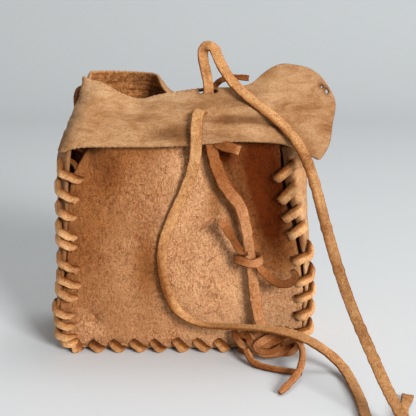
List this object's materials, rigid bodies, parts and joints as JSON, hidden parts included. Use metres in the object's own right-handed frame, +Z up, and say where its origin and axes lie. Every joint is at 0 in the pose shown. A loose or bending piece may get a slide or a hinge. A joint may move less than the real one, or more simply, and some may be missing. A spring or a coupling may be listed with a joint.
{
  "type": "drawstring bag",
  "caption": "Small box-shaped laced leather pouch with a soft collar, a drawstring through the collar and a tie thong with a sliding knot, for holding dice.",
  "frame": {"origin": "middle of the flat resting face under the bag", "axes": "+X to the right seen from the front, +Y from the front panel to the back panel, +Z up"},
  "size_m": [0.1561, 0.1422, 0.1436],
  "materials": {
    "suede_panel": "rough suede, flesh side out, reddish tan",
    "grain_leather": "smooth grain side out, light tan, soft creases",
    "seam_lace": "flat suede lace",
    "drawstring_suede": "flat suede lace, napped",
    "thong_suede": "flat suede lace, napped"
  },
  "bodies": {
    "bag": {"front_panel": "suede_panel", "back_panel": "suede_panel", "gusset_strip": "grain_leather", "collar_front": "grain_leather", "lace_front_left": "seam_lace", "lace_front_right": "seam_lace", "lace_front_base": "seam_lace", "lace_back_left": "seam_lace", "lace_back_right": "seam_lace", "lace_back_base": "seam_lace", "lace_bundle": "seam_lace", "lace_tail_curled": "seam_lace", "lace_tail_flat": "seam_lace", "drawstring_long": "drawstring_suede", "drawstring_short": "drawstring_suede", "drawstring_stub": "drawstring_suede", "drawstring_side_loop": "drawstring_suede", "drawstring_tail": "drawstring_suede", "drawstring_end_knot": "drawstring_suede", "drawstring_stop_knot": "drawstring_suede", "tie_thong": "thong_suede", "thong_stub": "thong_suede", "thong_stop_knot": "thong_suede"},
    "mouth_back": {"collar_back": "grain_leather"},
    "slider": {"slider_knot": "thong_suede", "slider_tail_up": "thong_suede", "slider_tail_side": "thong_suede"}
  },
  "joints": [
    {"name": "mouth_open", "type": "hinge", "parent": "bag", "child": "mouth_back", "pos_m": [0, 0.023, 0.1002], "axis": [-1, 0, 0], "range_deg": [0, 30]},
    {"name": "slider_slide", "type": "slide", "parent": "bag", "child": "slider", "axis": [-0.1151, 0, 0.9933], "range_m": [-0.01, 0.013]}
  ]
}
